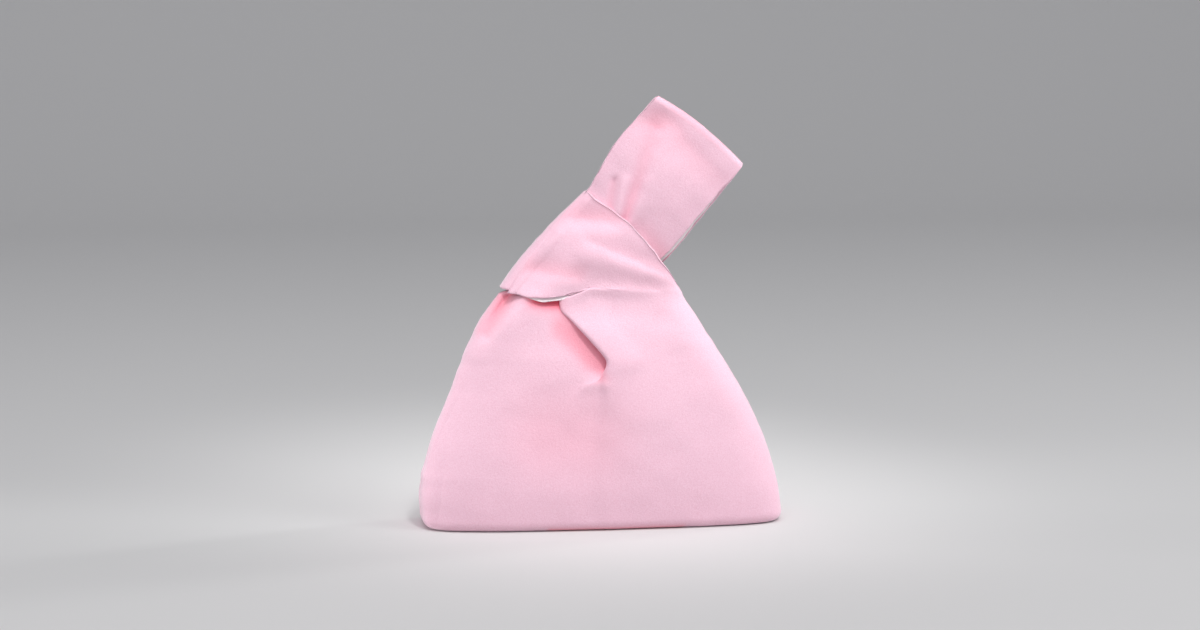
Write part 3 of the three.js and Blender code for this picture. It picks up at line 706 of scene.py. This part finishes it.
def slideAlong(rows, atStart, atEnd):
    # Points move along their row by the given lengths at its two ends, fading out over the slide's reach
    rows = rows[..., :3]
    run = np.gradient(rows, axis=1)
    run /= np.linalg.norm(run, axis=2, keepdims=True)
    steps = np.linalg.norm(np.diff(rows, axis=1), axis=2)
    length = np.concatenate([np.zeros((len(rows), 1)), np.cumsum(steps, axis=1)], axis=1)
    start = np.reshape(atStart, (-1, 1)) * np.exp(-length / lining["reach"])
    end = np.reshape(atEnd, (-1, 1)) * np.exp(-(length[:, -1:] - length) / lining["reach"])
    return rows + (end - start)[..., None] * run


def backedSheet(rows, side):
    # The rows' own surface, shifted inwards behind the cloth and given the lining's thickness
    points, quads = rows.reshape(-1, 3), gridQuads(numberGrid(rows), side)
    normals = surfaceNormals(points, quads)
    behind = bagBody["cloth"] / 2 + lining["gap"] + lining["thickness"] / 2
    return closedSheet(points - behind * normals, quads, normals, lining["thickness"])


def joined(sheets):
    # Several closed sheets as one list of points and one of faces
    starts = np.cumsum([0] + [len(sheet[0]) for sheet in sheets[:-1]])
    faces = [sheet[1] + start for sheet, start in zip(sheets, starts)]
    return np.concatenate([sheet[0] for sheet in sheets]), np.concatenate(faces)


def lipStrip(edge, depth, lip, side, upward):
    # A narrow upright strip of lining behind a free edge: at each point of the edge it runs square to it,
    # from depth inside to lip outside, which is upward (1) or downward (-1), and rolls outwards there
    along = np.gradient(edge, axis=0)
    outward = np.cross(along, (0, 1, 0))
    outward *= (upward * np.sign(outward[:, 2]) / np.linalg.norm(outward, axis=1))[:, None]
    reach = np.linspace(0, 1, lining["stripRows"])[:, None] * (depth + lip) - depth
    strip = edge + outward * reach[..., None]
    strip[..., 1] += side * lining["lipRoll"] * smoothStep(reach, 0, lining["rollReach"])
    rightward = np.cross(along, outward)[:, 1].mean() < 0
    return backedSheet(strip if rightward else strip[:, ::-1], side)


def mouthEdge(side, folds):
    # The free edge of the mouth from the pleat towards the notch
    column = fineColumns()
    column = column[(column >= pattern["foldEdge"]) & (column <= lining["mouthEnd"])]
    return bodySurface(side, folds, column, rimAt(column))[:, :3]


def makeLinings(panel, longRows, shortRows):
    # Each strap's lining follows its rows, let out or drawn back along the edges. The short one also has a
    # strip along its lower edge and one along the mouth.
    side, setback = panel["side"], lining["setback"]
    longRows = longRows[lining["longStart"]:-lining["endRows"]]
    shortRows = shortRows[:-lining["endRows"]]
    longLip = np.interp(longRows[:, -1, 2], lining["longLipZ"], panel["longLip"])
    longSheet = joined([backedSheet(slideAlong(longRows, -setback, longLip), side)])
    edge = shortRows[shortRows[:, 0, 0] > lining["shortLipX"][0], 0, :3]
    depth = np.interp(edge[:, 0], lining["shortLipX"], lining["stripDepth"])
    lip = np.interp(edge[:, 0], lining["shortLipX"], panel["shortLip"])
    shortSheet = joined([
        backedSheet(slideAlong(shortRows[lining["shortStart"]:], -setback, -setback), side),
        lipStrip(edge, depth, lip, side, -1),
        lipStrip(mouthEdge(side, panel["folds"]), lining["stripDepth"][0], panel["mouthLip"], side, 1),
    ])
    return [putPiece(panel["name"] + part, *sheet, np.zeros(len(sheet[0])), liningMaterial, "lining_cloth")
            for part, sheet in (("LongLining", longSheet), ("ShortLining", shortSheet))]


# Lips are how far the lining shows past an edge, at the places in the lining's own dictionary
panels = [
    dict(name="front", side=-1, folds=frontFolds, strap=frontStrapFolds, band=frontBandFolds,
         longLip=[2.4, 2.8, 1.4, -0.6], shortLip=[-0.6, 0, 1, 2, 2.7, 2.6], mouthLip=1),
    dict(name="back", side=1, folds=backFolds, strap=backStrapFolds, band=backBandFolds,
         longLip=[-3, -3, -3, -3], shortLip=[-1, -1, -1, -1, -1, -1], mouthLip=-1),
]
# Each panel and its two linings, in place of the frame's matching parts, which are hidden
for panel in panels:
    name = panel["name"]
    piece, longRows, shortRows = makePanel(panel)
    longLining, shortLining = makeLinings(panel, longRows, shortRows)
    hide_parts(name + "_panel")
    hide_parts(name + "_long_lining")
    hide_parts(name + "_short_lining")

studio = dict(
    width=8.0, front=-4.0, back=2.2, sweep=1.2, wall=4.0,  # metres
    sweepSteps=24,
    sockets={"Base Color": (0.66, 0.655, 0.65, 1), "Roughness": 0.9},
    sky=(0.94, 0.95, 1.0, 1), skyStrength=0.475,
    aim=(0, 0, 0.15),  # of the lamps that have none of their own
    spotBlend=1,  # spots fade from their middle to their rim
    exposure=0.0,
)
# Lamps with a cone, in degrees, are soft spots, and the others are square areas. Power is in watts.
lamps = [
    dict(name="keyLamp", place=(1.5, -0.8, 1.6), size=0.9, power=10.2),
    dict(name="topLamp", place=(-0.1, -0.6, 1.9), size=1.5, power=14.5),
    dict(name="fillLamp", place=(-0.9, -1.2, 0.9), aim=(-0.092, 0, 0.118), size=0.12, cone=7.5, power=25),
    dict(name="upperLamp", place=(0.3, -1.0, 1.7), aim=(0.045, 0, 0.232), size=0.4, cone=14, power=126),
    dict(name="leftLamp", place=(-1.2, 0.3, 0.1), aim=(-0.12, 0, 0.03), size=0.15, cone=13, power=25),
    dict(name="rightLamp", place=(1.5, 0.5, 0.5), aim=(0.06, 0, 0.14), size=0.25, cone=22, power=34),
]


def makeFloor():
    # One profile, level, then a quarter circle, then upright, drawn out sideways
    angle, sweep = np.linspace(0, np.pi / 2, studio["sweepSteps"]), studio["sweep"]
    bend = np.stack([studio["back"] + sweep * np.sin(angle), sweep * (1 - np.cos(angle))], -1)
    profile = np.concatenate([[[studio["front"], 0]], bend, [[bend[-1, 0], studio["wall"]]]])
    half = studio["width"] / 2
    points = np.concatenate([np.insert(profile, 0, x, axis=1) for x in (-half, half)])
    count = len(profile)
    lower = np.arange(count - 1)
    faces = np.stack([lower, lower + count, lower + count + 1, lower + 1], axis=-1)
    mesh = bpy.data.meshes.new("floor")
    mesh.from_pydata(points.tolist(), [], faces.tolist())
    mesh.polygons.foreach_set("use_smooth", np.ones(len(faces), bool))
    floor = bpy.data.objects.new("floor", mesh)
    bpy.context.scene.collection.objects.link(floor)
    mesh.materials.append(nodeMaterial("paleFloor", studio["sockets"])[0])


def makeLight():
    # An even pale sky, and the lamps, each turned to what it is aimed at
    scene = bpy.context.scene
    scene.world = scene.world or bpy.data.worlds.new("studioSky")
    scene.world.use_nodes = True
    sky = scene.world.node_tree.nodes["Background"]
    sky.inputs["Color"].default_value = studio["sky"]
    sky.inputs["Strength"].default_value = studio["skyStrength"]
    for lamp in lamps:
        light = bpy.data.lights.new(lamp["name"], "SPOT" if "cone" in lamp else "AREA")
        light.energy = lamp["power"]
        if "cone" in lamp:
            light.shadow_soft_size = lamp["size"] / 2
            light.spot_size = np.radians(lamp["cone"])
            light.spot_blend = studio["spotBlend"]
        else:
            light.size = lamp["size"]
        holder = bpy.data.objects.new(lamp["name"], light)
        holder.location = lamp["place"]
        beam = Vector(lamp.get("aim", studio["aim"])) - holder.location
        holder.rotation_euler = beam.to_track_quat("-Z", "Y").to_euler()
        scene.collection.objects.link(holder)
    scene.view_settings.view_transform = "Standard"
    scene.view_settings.exposure = studio["exposure"]


def makeCamera():
    # Looks at the target from its azimuth and elevation, as far away as the photograph was taken
    view = dict(target=(0, 0, 0.146), distance=1.89, azimuth=-9.0, elevation=7.34, lens=81, sensor=36)
    around, above = np.radians(view["azimuth"]), np.radians(view["elevation"])
    back = Vector((np.sin(around) * np.cos(above), -np.cos(around) * np.cos(above), np.sin(above)))
    data = bpy.data.cameras.new("photoCamera")
    data.lens, data.sensor_width, data.sensor_fit = view["lens"], view["sensor"], "HORIZONTAL"
    camera = bpy.data.objects.new("photoCamera", data)
    camera.location = Vector(view["target"]) + view["distance"] * back
    camera.rotation_euler = (-back).to_track_quat("-Z", "Y").to_euler()
    bpy.context.scene.collection.objects.link(camera)
    bpy.context.scene.camera = camera


makeFloor()
makeLight()
makeCamera()
print("studio and camera set")
